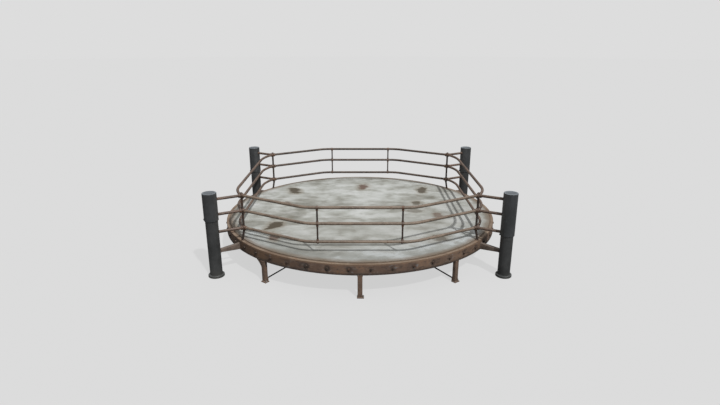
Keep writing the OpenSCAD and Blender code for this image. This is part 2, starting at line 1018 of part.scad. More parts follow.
rim_band(0);  // rim_band_1
rim_band(1);  // rim_band_2
rim_band(2);  // rim_band_3
rim_band(3);  // rim_band_4
rim_angle(0);  // rim_angle_1
rim_angle(1);  // rim_angle_2
rim_angle(2);  // rim_angle_3
rim_angle(3);  // rim_angle_4
rim_lip();
rim_bolts();
leg(-90 - leg_pitch, -1);  // leg_front_left
leg(-90, 0);  // leg_front
leg(-90 + leg_pitch, 0);  // leg_front_right
leg(90 + leg_pitch, 0);  // leg_back_left
leg(90, 0);  // leg_back
leg(90 - leg_pitch, 0);  // leg_back_right
leg_bolts();
leg_anchors();
tie_rods();
post_tube(0);  // post_front_left
post_tube(1);  // post_front_right
post_tube(2);  // post_back_left
post_tube(3);  // post_back_right
post_sleeves();
post_caps();
post_feet();
post_arms();
post_stubs();
front_rail(rail_top_z);  // front_rail_top
front_rail(rail_mid_z);  // front_rail_mid
front_rail(rail_low_z);  // front_rail_low
back_rail(rail_top_z);  // back_rail_top
back_rail(rail_mid_z);  // back_rail_mid
back_rail(rail_low_z);  // back_rail_low
left_rail(rail_top_z);  // left_rail_top
left_rail(rail_mid_z);  // left_rail_mid
left_rail(rail_low_z);  // left_rail_low
right_rail(rail_top_z);  // right_rail_top
right_rail(rail_mid_z);  // right_rail_mid
right_rail(rail_low_z);  // right_rail_low
corner_stanchions();
corner_fittings();
mid_stanchions();
stanchion_clamps();
pedestal();
spindle();
thrust_race(race_z);  // thrust_race_lower
thrust_balls();
ball_cage();
thrust_race(race_up_z);  // thrust_race_upper
hub_bush();
spindle_nut();
deck_plate(-1);  // deck_plate_front
deck_plate(1);  // deck_plate_back
deck_hub();
deck_arms();
deck_edge_ring();
deck_bolts();
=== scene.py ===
import math
import bpy
import bmesh
from mathutils import Matrix, Vector, noise


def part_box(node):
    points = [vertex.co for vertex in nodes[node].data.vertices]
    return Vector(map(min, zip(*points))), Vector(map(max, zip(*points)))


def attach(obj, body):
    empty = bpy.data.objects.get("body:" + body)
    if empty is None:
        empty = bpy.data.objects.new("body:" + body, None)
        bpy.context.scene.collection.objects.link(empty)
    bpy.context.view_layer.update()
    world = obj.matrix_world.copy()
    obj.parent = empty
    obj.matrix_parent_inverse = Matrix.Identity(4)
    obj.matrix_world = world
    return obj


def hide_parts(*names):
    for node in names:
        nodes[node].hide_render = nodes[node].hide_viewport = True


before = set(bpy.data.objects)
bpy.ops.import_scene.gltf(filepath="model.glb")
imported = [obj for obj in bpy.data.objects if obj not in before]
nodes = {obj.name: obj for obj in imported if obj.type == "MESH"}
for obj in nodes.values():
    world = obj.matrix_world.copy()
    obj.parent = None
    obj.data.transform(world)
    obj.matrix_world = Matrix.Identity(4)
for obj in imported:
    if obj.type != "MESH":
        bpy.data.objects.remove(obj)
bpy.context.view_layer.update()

# sizes read off the frame, in metres
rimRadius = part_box("rim_band_1")[1].y
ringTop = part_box("rim_angle_1")[1].z
lipLow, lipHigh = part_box("rim_lip")[0].z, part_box("rim_band_1")[0].z
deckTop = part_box("deck_plate_front")[1].z
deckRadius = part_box("deck_plate_front")[1].x
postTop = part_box("post_caps")[1].z
boltCount = 48
boltHeight = (lipLow + ringTop) / 2 + 0.004  # bolts sit a little above the band's middle
postMiddles = {}
for postName in ["front_left", "front_right", "back_left", "back_right"]:
    low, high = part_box("post_" + postName)
    postMiddles[postName] = Vector(((low.x + high.x) / 2, (low.y + high.y) / 2, 0))
postRadius = (high.x - low.x) / 2
railLevels = []
for railName in ["front_rail_low", "front_rail_mid", "front_rail_top"]:
    low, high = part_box(railName)
    railLevels.append((low.z + high.z) / 2)
uprightRadius = 0.01
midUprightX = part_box("mid_stanchions")[1].x - uprightRadius
midUprightY = -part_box("mid_stanchions")[0].y - uprightRadius
jointGap = 0.0002  # between a tube and what is slipped over it
hair = 0.001  # small step for beads, overlaps and finding edges
drop = {"swell": 0.22, "spread": 90, "flat": 0.8}  # the drops that a weld bead is made of
up = Vector((0, 0, 1))


# small tools for making meshes

def turned(degrees, axis="Z"):
    return Matrix.Rotation(math.radians(degrees), 4, axis)


def moved(x, y, z):
    return Matrix.Translation((x, y, z))


def along(direction):  # turns +Z to a direction
    return direction.to_track_quat("Z", "Y").to_matrix().to_4x4()


def meshOf(bm):
    bmesh.ops.recalc_face_normals(bm, faces=bm.faces)
    mesh = bpy.data.meshes.new("shape")
    bm.to_mesh(mesh)
    bm.free()
    return mesh


def stamp(piece, mesh, matrix):  # adds a copy of a mesh to a piece
    copy = mesh.copy()
    copy.transform(matrix)
    if matrix.determinant() < 0:
        copy.flip_normals()
    piece.from_mesh(copy)
    bpy.data.meshes.remove(copy)


def edgesOf(verts):
    return list({e for v in verts for e in v.link_edges})


def vertsIn(geom):
    return [g for g in geom if isinstance(g, bmesh.types.BMVert)]


def bevelEdges(bm, edges, width, steps):
    bmesh.ops.bevel(bm, geom=edges, offset=width, offset_type="OFFSET", segments=steps,
                    profile=0.5, affect="EDGES", material=-1)


def bar(bm, start, end, radius, endRadius=None, sides=24):  # round bar between two points
    line = end - start
    matrix = Matrix.Translation((start + end) / 2) @ along(line)
    bmesh.ops.create_cone(bm, cap_ends=True, segments=sides, radius1=radius,
                          radius2=endRadius or radius, depth=line.length, matrix=matrix)


def slab(bm, lowCorner, highCorner, rounding=0.0):  # box between two corners
    size = Vector(highCorner) - Vector(lowCorner)
    middle = (Vector(highCorner) + Vector(lowCorner)) / 2
    matrix = Matrix.Translation(middle) @ Matrix.Diagonal((*size, 1))
    verts = bmesh.ops.create_cube(bm, size=1, matrix=matrix)["verts"]
    if rounding:
        bevelEdges(bm, edgesOf(verts), rounding, 2)
    return verts


def turnedShape(bm, outline, sides=48):  # spins (radius, height) points about Z
    verts = [bm.verts.new((r, 0, z)) for r, z in outline]
    edges = [bm.edges.new(pair) for pair in zip(verts, verts[1:] + verts[:1])]
    bmesh.ops.spin(bm, geom=verts + edges, cent=(0, 0, 0), axis=(0, 0, 1),
                   angle=2 * math.pi, steps=sides, use_merge=True)
    bmesh.ops.remove_doubles(bm, verts=bm.verts, dist=1e-6)


def arcPoints(cx, cz, radius, first, last, count):  # points of an arc, in degrees
    return [(cx + radius * math.cos(math.radians(first + (last - first) * i / count)),
             cz + radius * math.sin(math.radians(first + (last - first) * i / count)))
            for i in range(count + 1)]


def weldBead(piece, points, radius, pitch):  # overlapping flat drops along a line of points
    for start, end in zip(points, points[1:]):
        line = end - start
        count = max(1, round(line.length / pitch))
        for i in range(count):
            spot = start + line * (i / count)
            swell = 1 + drop["swell"] * noise.noise(spot * drop["spread"])
            size = Matrix.Diagonal((radius * swell, radius * swell, radius * drop["flat"], 1))
            stamp(piece, dropMesh, Matrix.Translation(spot) @ along(line) @ size)


def ringPoints(middle, axis, radius, count):  # closed ring of points about an axis
    facing = along(axis)
    return [middle + facing @ Vector((radius * math.cos(2 * math.pi * i / count),
                                      radius * math.sin(2 * math.pi * i / count), 0))
            for i in range(count + 1)]


def finishPiece(name, bm, material, body, replaces=(), sharp=35):
    mesh = bpy.data.meshes.new(name)
    bm.to_mesh(mesh)
    bm.free()
    mesh.materials.append(material)
    mesh.shade_smooth()
    mesh.set_sharp_from_angle(angle=math.radians(sharp))
    piece = bpy.data.objects.new(name, mesh)
    bpy.context.scene.collection.objects.link(piece)
    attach(piece, body)
    if replaces:
        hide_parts(*replaces)


def melted(bm, voxel, smoothing):  # blends solids into one cast lump
    mesh = meshOf(bm)
    helper = bpy.data.objects.new("helper", mesh)
    bpy.context.scene.collection.objects.link(helper)
    remesh = helper.modifiers.new("remesh", "REMESH")
    remesh.mode = "VOXEL"
    remesh.voxel_size = voxel
    smooth = helper.modifiers.new("smooth", "SMOOTH")
    smooth.factor = 0.5
    smooth.iterations = smoothing
    bpy.context.view_layer.update()
    seen = helper.evaluated_get(bpy.context.evaluated_depsgraph_get())
    lump = bpy.data.meshes.new_from_object(seen)
    bpy.data.objects.remove(helper)
    return lump


dropShape = bmesh.new()
bmesh.ops.create_icosphere(dropShape, subdivisions=1, radius=1)
dropMesh = meshOf(dropShape)


# shader tools

class Value:  # a number or colour on its way through a material's nodes
    def __init__(self, paint, socket):
        self.paint = paint
        self.socket = socket

    def maths(self, operation, first, second):
        return self.paint.node("ShaderNodeMath", {"operation": operation}, {0: first, 1: second})

    def __add__(self, other):
        return self.maths("ADD", self, other)

    def __radd__(self, other):
        return self.maths("ADD", other, self)

    def __sub__(self, other):
        return self.maths("SUBTRACT", self, other)

    def __rsub__(self, other):
        return self.maths("SUBTRACT", other, self)

    def __mul__(self, other):
        return self.maths("MULTIPLY", self, other)

    def __rmul__(self, other):
        return self.maths("MULTIPLY", other, self)


class Paint:  # the nodes of a new material, or of the sky
    def __init__(self, name, owner=None):
        self.owner = owner or bpy.data.materials.new(name)
        self.owner.use_nodes = True
        self.tree = self.owner.node_tree
        self.place = self.node("ShaderNodeTexCoord", {}, {}, "Object")

    def node(self, kind, settings, inputs, output=0):
        made = self.tree.nodes.new(kind)
        for key, value in settings.items():
            if key == "stops":
                ramp = made.color_ramp
                while len(ramp.elements) < len(value):
                    ramp.elements.new(0.5)
                for element, (position, colour) in zip(ramp.elements, value):
                    element.position = position
                    element.color = colour
            else:
                setattr(made, key, value)
        for key, value in inputs.items():
            if isinstance(value, Value):
                self.tree.links.new(value.socket, made.inputs[key])
            else:
                made.inputs[key].default_value = value
        return Value(self, made.outputs[output])

    def grain(self, scale, detail=4.0, rough=0.55, twist=0.0, at=None):
        return self.node("ShaderNodeTexNoise", {}, {
            "Vector": at or self.place, "Scale": scale, "Detail": detail,
            "Roughness": rough, "Distortion": twist}, "Fac")

    def pulled(self, scale, move=(0, 0, 0), turn=(0, 0, 0)):  # coordinates pulled out of round
        return self.node("ShaderNodeMapping", {}, {
            "Vector": self.place, "Location": move, "Rotation": turn, "Scale": scale})

    def step(self, value, low, high):  # 0 under low, 1 over high, smooth between
        return self.node("ShaderNodeMapRange", {"interpolation_type": "SMOOTHSTEP"}, {
            "Value": value, "From Min": low, "From Max": high})

    def blend(self, share, first, second, mode="MIX"):
        return self.node("ShaderNodeMix", {"data_type": "RGBA", "blend_type": mode}, {
            0: share, 6: first, 7: second}, 2)

    def axis(self, letter):  # X, Y or Z of the place
        return self.node("ShaderNodeSeparateXYZ", {}, {0: self.place}, letter)

    def length(self, vector):
        return self.node("ShaderNodeVectorMath", {"operation": "LENGTH"}, {0: vector}, "Value")

    def outward(self):  # distance from the deck's turning axis
        return self.length(self.pulled((1, 1, 0)))

    def facingUp(self):  # -1 facing down to 1 facing up
        normal = self.node("ShaderNodeNewGeometry", {}, {}, "Normal")
        return self.node("ShaderNodeSeparateXYZ", {}, {0: normal}, 2)

    def relief(self, height, depth, strength=1.0):
        return self.node("ShaderNodeBump", {}, {
            "Strength": strength, "Distance": depth, "Height": height}, "Normal")

    def finish(self, colour, roughness, normal=None, metallic=0.0, specular=0.5):
        shader = self.tree.nodes["Principled BSDF"]
        wanted = {"Base Color": colour, "Roughness": roughness, "Metallic": metallic,
                  "Specular IOR Level": specular}
        if normal:
            wanted["Normal"] = normal
        for key, value in wanted.items():
            if isinstance(value, Value):
                self.tree.links.new(value.socket, shader.inputs[key])
            else:
                shader.inputs[key].default_value = value
        return self.owner


def tint(red, green, blue):  # display colour, 0 to 255, as the shader wants it
    linear = [c / 255 / 12.92 if c < 11 else ((c / 255 + 0.055) / 1.055) ** 2.4
              for c in (red, green, blue)]
    return (*linear, 1.0)


# finishes

def wornPaint(name, look):  # old paint with rust coming through, dust and painted light on top, painted shade below
    paint = Paint(name)
    wide = paint.grain(look["patchScale"], 5, 0.6, 0.4)
    fine = paint.grain(look["patchScale"] * 9, 6, 0.65)
    speck = paint.grain(240, 3, 0.7)
    colour = paint.blend(paint.step(wide, 0.36, 0.66), look["dark"], look["main"])
    colour = paint.blend(paint.step(fine, 0.45, 0.75) * look["paleShare"], colour, look["pale"])
    rustPlace = wide * 0.45 + fine * 0.55
    rust = paint.step(rustPlace, look["rustFrom"], look["rustFrom"] + 0.07)
    rustTone = paint.blend(speck, look["rustDark"], look["rust"])
    colour = paint.blend(rust, colour, rustTone)
    level = paint.facingUp()
    # dust and painted top light: surfaces facing up are lightened
    dustAndTopLight = paint.step(level + (fine - 0.5) * 0.8, look["topFrom"], 1.0) * look["topShare"]
    colour = paint.blend(dustAndTopLight, colour, look["top"])
    # painted shade: surfaces facing down are darkened
    grime = paint.step(level * -1 + (fine - 0.5) * 0.6, 0.1, 0.9) * look["grimeShare"]
    colour = paint.blend(grime, colour, look["grime"])
    colour = paint.blend(speck * 0.14, colour, look["dark"])
    roughness = 1 - (1 - look["roughness"]) * (1 - rust * 0.8) * (0.8 + fine * 0.4)
    height = fine * 0.5 + speck * 0.3 - rust * 0.6
    normal = paint.relief(height, look["depth"], 0.7)
    return paint.finish(colour, roughness, normal)


def barrelPaint(name, look):  # dark satin paint of the posts: faint runs, chalky marks, dust low down, dust and painted sheen on top, a painted highlight on the caps' rim
    paint = Paint(name)
    z = paint.axis("Z")
    runs = paint.grain(38, 4, 0.6, 0.0, paint.pulled((1, 1, 0.09)))
    wide = paint.grain(4.5, 4, 0.6, 0.3)
    fine = paint.grain(70, 5, 0.7)
    scuff = paint.grain(60, 3, 0.6, 0.2, paint.pulled((1, 1, 0.25), (3, 1, 2)))
    colour = paint.blend(paint.step(wide, 0.35, 0.68), look["main"], look["pale"])
    colour = paint.blend(paint.step(runs, 0.5, 0.8) * 0.5, colour, look["run"])
    marks = paint.step(scuff, 0.66, 0.72)
    colour = paint.blend(marks * 0.35, colour, look["chalk"])
    low = paint.step(z * -1 + (wide - 0.5) * 0.3, -0.12, 0.02)
    colour = paint.blend(low * 0.55, colour, look["dust"])
    # dust and painted sheen: surfaces facing up are lightened to a pale blue-grey
    topDustAndSheen = paint.step(paint.facingUp() + (wide - 0.5) * 0.7, 0.4, 1.0)
    colour = paint.blend(topDustAndSheen * look["topShare"], colour, look["top"])
    # painted highlight along the caps' raised rim
    brink = paint.step(z + (fine - 0.5) * 0.001, postTop - 0.0026, postTop - 0.001)
    colour = paint.blend(brink * paint.step(wide, 0.3, 0.6), colour, look["brink"])
    colour = paint.blend(paint.step(fine, 0.62, 0.8) * 0.25, colour, look["chalk"])
    roughness = look["roughness"] + (fine - 0.5) * 0.25 + marks * 0.15
    normal = paint.relief(fine * 0.5 + runs * 0.5 - marks * 0.3, 0.0007, 0.6)
    return paint.finish(colour, roughness, normal)


def rimPaint(name, look):  # the rim: mottled brown paint, orange rust, dark streaks below each bolt, a painted highlight along the band's top
    paint = Paint(name)
    x, z = paint.axis("X"), paint.axis("Z")
    angle = paint.node("ShaderNodeMath", {"operation": "ARCTAN2"}, {0: paint.axis("Y"), 1: x})
    turn = angle * (boltCount / (2 * math.pi))
    share = paint.node("ShaderNodeMath", {"operation": "FRACT"}, {0: turn}) - 0.5
    aside = share * (2 * math.pi * rimRadius / boltCount)  # from the nearest bolt, along the band
    wide = paint.grain(2.2, 4, 0.6, 0.6)
    patch = paint.grain(9, 5, 0.65, 0.5, paint.pulled((1, 1, 2.2)))
    scuff = paint.grain(13, 4, 0.6, 0.4, paint.pulled((1, 1, 2.6), (2, 6, 1)))
    fine = paint.grain(55, 6, 0.7)
    speck = paint.grain(260, 3, 0.7)
    colour = paint.blend(paint.step(wide, 0.36, 0.64), look["dark"], look["main"])
    colour = paint.blend(paint.step(patch, 0.5, 0.66) * 0.75, colour, look["grey"])
    orange = paint.step(patch * 0.5 + wide * 0.5 + fine * 0.12, 0.575, 0.66)
    colour = paint.blend(orange * 0.65, colour, look["orange"])
    # the band is darker and warmer towards -X, paler towards +X
    warm = paint.step(x * -1 + (wide - 0.5) * 2.4, 0.3, 1.3)
    colour = paint.blend(warm * 0.55, colour, look["warm"])
    paleTowardsRight = paint.step(x + (wide - 0.5) * 2, 0.2, 1.3)
    colour = paint.blend(paleTowardsRight * 0.5, colour, look["paleTowardsRight"])
    colour = paint.blend(paint.step(1 - scuff, 0.54, 0.64) * 0.7, colour, look["shadow"])
    colour = paint.blend(paint.step(fine, 0.56, 0.72) * 0.35, colour, look["pale"])
    below = boltHeight - z
    away = aside * aside + below * below
    halo = 1 - paint.step(away + (fine - 0.5) * 0.001 + (patch - 0.5) * 0.003, 0.0004, 0.0022)
    sideways = aside * aside + (fine - 0.5) * 0.0004
    streak = (1 - paint.step(sideways, 0.00005, 0.0005)) * paint.step(below, -0.005, 0.02)
    strong = paint.step(paint.grain(1.9, 2, 0.5, 0.0, paint.pulled((1, 1, 0.1), (5, 2, 0))), 0.4, 0.6)
    smudge = paint.step(scuff, 0.58, 0.66) * (1 - paint.step(away, 0.0018, 0.0045))
    colour = paint.blend(smudge * 0.7, colour, look["smudge"])
    colour = paint.blend(halo * (0.3 + strong * 0.5), colour, look["stain"])
    colour = paint.blend(streak * strong * 0.6, colour, look["stain"])
    # painted highlight: the top of the band is lightened, as if catching light from above
    edge = paint.step(z, boltHeight + 0.035, boltHeight + 0.052)
    colour = paint.blend(edge * 0.5, colour, look["edge"])
    # the band is darker towards its bottom edge
    foot = 1 - paint.step(z + (fine - 0.5) * 0.02, boltHeight - 0.062, boltHeight - 0.03)
    colour = paint.blend(foot * 0.75, colour, look["stain"])
    colour = paint.blend(speck * 0.2, colour, look["dark"])
    roughness = 0.62 + orange * 0.25 + (fine - 0.5) * 0.2
    normal = paint.relief(fine * 0.5 + speck * 0.25 - orange * 0.4 + patch * 0.4, 0.0011, 0.8)
    return paint.finish(colour, roughness, normal)


def ringPaint(name, look):  # the ring's top: rubbed to pale brown, rustier in patches along its length
    paint = Paint(name)
    out = paint.outward()
    wide = paint.grain(3.1, 5, 0.65, 0.7)
    fine = paint.grain(48, 6, 0.7)
    speck = paint.grain(230, 3, 0.7)
    colour = paint.blend(paint.step(wide, 0.38, 0.62), look["main"], look["pale"])
    orange = paint.step(wide * 0.6 + fine * 0.4, 0.53, 0.63)
    colour = paint.blend(orange * 0.7, colour, look["rust"])
    inner = 1 - paint.step(out + (fine - 0.5) * 0.03, deckRadius + 0.004, deckRadius + 0.03)
    colour = paint.blend(inner * 0.55, colour, look["shade"])
    # darker brown towards the ring's outer edge
    outerEdgeTone = paint.step(out + (fine - 0.5) * 0.012, rimRadius - 0.008, rimRadius - 0.001)
    colour = paint.blend(outerEdgeTone * 0.6, colour, look["edge"])
    colour = paint.blend(paint.step(fine, 0.6, 0.78) * 0.5, colour, look["shade"])
    colour = paint.blend(speck * 0.2, colour, look["shade"])
    roughness = 0.6 + orange * 0.2 + (fine - 0.5) * 0.25
    normal = paint.relief(fine * 0.6 + speck * 0.3 - orange * 0.3, 0.001, 0.8)
    return paint.finish(colour, roughness, normal)


def deckPaint(name, look):  # pale plates, trodden and mottled, with rust stains where water stood
    paint = Paint(name)
    x, y, out = paint.axis("X"), paint.axis("Y"), paint.outward()
    cloud = paint.grain(1.1, 2, 0.5, 0.3)
    patch = paint.grain(2.6, 2.5, 0.5, 0.3, paint.pulled((0.9, 1.1, 1), (1.3, 0.4, 0)))
    mottle = paint.grain(6.5, 3.5, 0.55, 0.2, paint.pulled((0.9, 1.1, 1), (3.1, 1.7, 0)))
    smear = paint.grain(4.6, 3, 0.5, 0.3, paint.pulled((0.5, 1.3, 1), (4, 2, 0), (0, 0, 0.06)))
    fine = paint.grain(48, 6, 0.7)
    speck = paint.grain(210, 3, 0.7)
    weather = cloud * 0.22 + patch * 0.4 + mottle * 0.23 + smear * 0.15
    colour = paint.node("ShaderNodeValToRGB", {"stops": look["weather"]}, {"Fac": weather})
    colour = paint.blend(paint.step(smear, 0.5, 0.7) * 0.4, colour, look["white"])
    colour = paint.blend(paint.step(1 - mottle, 0.5, 0.72) * 0.3, colour, look["mud"])
    colour = paint.blend(paint.step(fine, 0.5, 0.8) * 0.22, colour, look["mud"])
    # the deck is darker towards the front and towards +X
    frontRightTone = paint.step(x * 0.5 - y + (cloud - 0.5) * 1.6, -0.2, 1.3)
    colour = paint.blend(frontRightTone * 0.3, colour, look["frontRightTone"])
    front = paint.step(out + (cloud - 0.5) * 0.5, 1.3, 1.75)
    front = front * paint.step(y * -1 + (patch - 0.5) * 0.6, 0.3, 1.1)
    colour = paint.blend(front * 0.3, colour, look["blue"])
    frost = front * paint.step(patch * 0.5 + mottle * 0.5, 0.5, 0.58)
    colour = paint.blend(frost * 0.6, colour, look["frost"])
    soot = paint.step(out + (mottle - 0.5) * 0.16, 1.69, 1.76) * paint.step(1 - patch, 0.46, 0.6)
    colour = paint.blend(soot * 0.5, colour, look["mud"])
    worn = paint.step(out + (fine - 0.5) * 0.04 + (mottle - 0.5) * 0.1, 1.69, 1.80)
    colour = paint.blend(worn * 0.85, colour, look["rim"])
    rough = 0.0
    for middle, size, turn, strength, tone in look["stains"]:
        near = paint.node("ShaderNodeMapping", {"vector_type": "TEXTURE"}, {
            "Vector": paint.place, "Location": (*middle, deckTop),
            "Rotation": (0, 0, math.radians(turn)), "Scale": (*size, 1)})
        ragged = paint.length(near) + (fine - 0.5) * 0.8 + (mottle - 0.5) * 1.9
        halo = (1 - paint.step(ragged, 0.7, 1.7)) * (0.55 * strength)
        core = (1 - paint.step(ragged, 0.55, 0.95)) * strength
        colour = paint.blend(halo, colour, look["tan"])
        colour = paint.blend(core, colour, tone)
        rough = rough + core
    colour = paint.blend(speck * 0.12, colour, look["mud"])
    roughness = 0.58 + (patch - 0.5) * 0.3 + rough * 0.2
    height = fine * 0.4 + speck * 0.2 + patch * 0.9 - rough * 0.4
    return paint.finish(colour, roughness, paint.relief(height, 0.0012, 0.6))


def machined(name, look):  # bare turned metal with oil and fine rings
    paint = Paint(name)
    out = paint.outward()
    rings = paint.node("ShaderNodeMath", {"operation": "SINE"}, {0: out * 2600})
    oil = paint.grain(26, 4, 0.6, 0.5)
    colour = paint.blend(paint.step(oil, 0.42, 0.66), look["main"], look["dull"])
    normal = paint.relief(rings * 0.3 + oil, 0.0002, 0.5)
    return paint.finish(colour, look["roughness"] + oil * 0.25, normal, look["metallic"])


# the top colour is dust and painted top light; the dark colour for undersides is painted shade
brownLook = {"main": tint(146, 130, 114), "dark": tint(103, 89, 76), "pale": tint(174, 158, 141),
             "rust": tint(132, 82, 52), "rustDark": tint(66, 42, 30), "top": tint(158, 138, 124),
             "grime": tint(48, 36, 31), "patchScale": 6.0, "paleShare": 0.5, "rustFrom": 0.58,
             "topFrom": 0.1, "topShare": 0.5, "grimeShare": 0.75, "roughness": 0.5, "depth": 0.0009}
railPaint = wornPaint("railPaint", brownLook)
# darker copy of the rail paint: painted shade for the side rails and the post stubs
sideRailShadedPaint = wornPaint("sideRailShadedPaint", brownLook | {
    "main": tint(118, 98, 86), "dark": tint(80, 64, 55), "pale": tint(148, 126, 112), "topShare": 0.35})
# darker copy of the rail paint: painted shade on the back rails, its pale spots painted highlights
backRailShadedPaint = wornPaint("backRailShadedPaint", brownLook | {
    "main": tint(82, 68, 60), "dark": tint(50, 40, 36), "pale": tint(150, 136, 124), "paleShare": 0.65,
    "topShare": 0.3})
uprightPaint = wornPaint("uprightPaint", brownLook | {
    "main": tint(70, 59, 53), "dark": tint(46, 38, 34), "pale": tint(116, 98, 84), "grimeShare": 0.5,
    "rustFrom": 0.6})
fittingPaint = wornPaint("fittingPaint", brownLook | {
    "main": tint(108, 84, 70), "dark": tint(70, 52, 42), "patchScale": 14.0, "rustFrom": 0.53,
    "rust": tint(140, 84, 50), "roughness": 0.42, "depth": 0.0015})
armPaint = wornPaint("armPaint", brownLook | {
    "main": tint(128, 113, 103), "dark": tint(94, 81, 73), "top": tint(150, 138, 128),
    "topShare": 0.45, "grimeShare": 0.4, "rustFrom": 0.57})
legPaint = wornPaint("legPaint", brownLook | {
    "main": tint(128, 106, 92), "dark": tint(94, 76, 64), "patchScale": 9.0, "rustFrom": 0.55})
# the lip under the band is painted dark: painted shade
lipShadedPaint = wornPaint("lipShadedPaint", brownLook | {
    "main": tint(58, 48, 45), "dark": tint(40, 33, 31), "topShare": 0.2, "grimeShare": 0.8})
boltPaint = wornPaint("boltPaint", brownLook | {
    "main": tint(74, 60, 52), "dark": tint(44, 34, 29), "patchScale": 30.0, "rustFrom": 0.52,
    "rust": tint(116, 72, 46), "topShare": 0.2})
anchorZinc = wornPaint("anchorZinc", brownLook | {
    "main": tint(150, 150, 148), "dark": tint(116, 114, 110), "pale": tint(176, 176, 172),
    "patchScale": 30.0, "rustFrom": 0.62, "top": tint(168, 166, 160)})
tieBlack = wornPaint("tieBlack", brownLook | {
    "main": tint(36, 34, 33), "dark": tint(22, 21, 21), "pale": tint(62, 58, 54),
    "patchScale": 12.0, "paleShare": 0.35, "rustFrom": 0.64, "top": tint(70, 66, 62),
    "topShare": 0.25, "roughness": 0.45})
underPaint = wornPaint("underPaint", brownLook | {
    "main": tint(104, 100, 94), "dark": tint(74, 70, 66), "pale": tint(130, 124, 116), "rustFrom": 0.57})
pivotPaint = wornPaint("pivotPaint", brownLook | {
    "main": tint(92, 95, 98), "dark": tint(66, 68, 70), "pale": tint(124, 126, 126), "rustFrom": 0.6})

# the top colour is dust and painted sheen; the pale rim colour is a painted highlight on the caps
slateLook = {"main": tint(60, 61, 61), "pale": tint(76, 77, 77), "run": tint(46, 46, 46),
             "chalk": tint(112, 115, 117), "dust": tint(84, 83, 79), "top": tint(124, 131, 137),
             "brink": tint(140, 147, 153), "topShare": 0.8, "roughness": 0.42}
postPaint = barrelPaint("postPaint", slateLook)
sleevePaint = barrelPaint("sleevePaint", slateLook | {"main": tint(64, 66, 67), "pale": tint(78, 80, 82)})
# the caps' lighter tone and strong top colour are dust and painted sheen
capPaint = barrelPaint("capPaint", slateLook | {"main": tint(74, 77, 80), "topShare": 0.8})
footPaint = barrelPaint("footPaint", slateLook | {
    "main": tint(64, 66, 66), "dust": tint(80, 79, 74), "top": tint(100, 102, 102), "topShare": 0.6})

rimBand = rimPaint("rimBand", {
    "main": tint(126, 102, 86), "dark": tint(94, 76, 66), "grey": tint(126, 118, 112),
    "orange": tint(142, 104, 74),
    "pale": tint(156, 134, 118), "stain": tint(48, 44, 42), "edge": tint(156, 126, 102),
    "warm": tint(112, 88, 64), "paleTowardsRight": tint(146, 120, 99), "shadow": tint(76, 66, 60),
    "smudge": tint(142, 142, 144)})
ringTopPaint = ringPaint("ringTopPaint", {
    "main": tint(142, 120, 101), "pale": tint(172, 153, 133), "rust": tint(142, 104, 76),
    "shade": tint(96, 80, 68), "edge": tint(124, 94, 72)})
rustBrown = tint(84, 73, 57)
rustRed = tint(108, 78, 64)
deckSteel = deckPaint("deckSteel", {
    "weather": [(0.37, tint(142, 141, 131)), (0.45, tint(176, 176, 168)), (0.52, tint(201, 203, 197)),
                (0.60, tint(225, 227, 224))],
    "white": tint(232, 233, 231), "mud": tint(134, 130, 117), "blue": tint(172, 180, 182),
    "frontRightTone": tint(160, 158, 150),
    "frost": tint(216, 222, 223), "rim": tint(134, 116, 98), "tan": tint(150, 138, 118),
    "stains": [  # middle, half sizes, turn in degrees, strength, tone
        ((-1.06, 0.95), (0.12, 0.21), 14, 0.9, rustBrown),
        ((0.055, 1.17), (0.13, 0.16), -10, 0.85, rustRed),
        ((0.99, 0.97), (0.09, 0.20), -12, 0.85, rustBrown),
        ((-1.10, 0.30), (0.07, 0.13), 0, 0.6, rustRed),
        ((0.82, 0.28), (0.09, 0.14), 0, 0.75, rustBrown),
        ((-1.10, -0.60), (0.10, 0.21), -22, 0.95, rustBrown),
        ((0.79, -0.05), (0.12, 0.10), 0, 0.4, rustBrown),
        ((1.08, -0.25), (0.07, 0.13), 20, 0.6, rustRed),
        ((-1.05, -1.06), (0.07, 0.13), 0, 0.75, rustRed),
        ((0.96, -1.12), (0.13, 0.12), 0, 0.65, rustBrown),
    ]})
bearingSteel = machined("bearingSteel", {
    "main": tint(188, 190, 192), "dull": tint(120, 116, 108), "roughness": 0.2, "metallic": 1.0})
bronzeMetal = machined("bronzeMetal", {
    "main": tint(196, 158, 96), "dull": tint(128, 98, 56), "roughness": 0.25, "metallic": 1.0})
print("finishes made")


# finishes for the parts that stay as the frame has them, by how their names start

partFinishes = {
    "rim_band": rimBand, "rim_angle": ringTopPaint, "rim_lip": lipShadedPaint, "front_rail": railPaint,
    "back_rail": backRailShadedPaint, "left_rail": sideRailShadedPaint, "right_rail": sideRailShadedPaint,
    "post_stubs": sideRailShadedPaint, "post_": postPaint, "corner_stanchions": uprightPaint,
    "mid_stanchions": uprightPaint, "leg_": legPaint, "deck_plate": deckSteel, "deck_arms": underPaint,
    "deck_edge_ring": underPaint, "deck_hub": pivotPaint, "pedestal": pivotPaint,
    "hub_bush": bronzeMetal, "ball_cage": bronzeMetal}

for nodeName, node in nodes.items():
    matches = [finish for start, finish in partFinishes.items() if nodeName.startswith(start)]
    node.data.materials.clear()
    node.data.materials.append(matches[0] if matches else bearingSteel)
print("frame painted")


# posts: caps, sleeves and feet

postSides = 96
cap = {"height": 0.012, "round": 0.005, "rim": 0.020, "slope": 0.006, "dish": 0.004, "crown": 0.6}
sleeve = {"radius": 0.0825, "lowEnds": {"front_left": 0.706, "front_right": 0.522, "back_left": 0.640,
          "back_right": 0.640}, "round": 0.003, "inset": 0.001, "stopSize": 0.011, "stopHeight": 0.007,
          "stopUp": 0.010}
foot = {"radius": 0.095, "height": 0.028, "round": 0.009, "chamfer": 0.002, "bead": 0.0055,
        "beadPitch": 0.008}
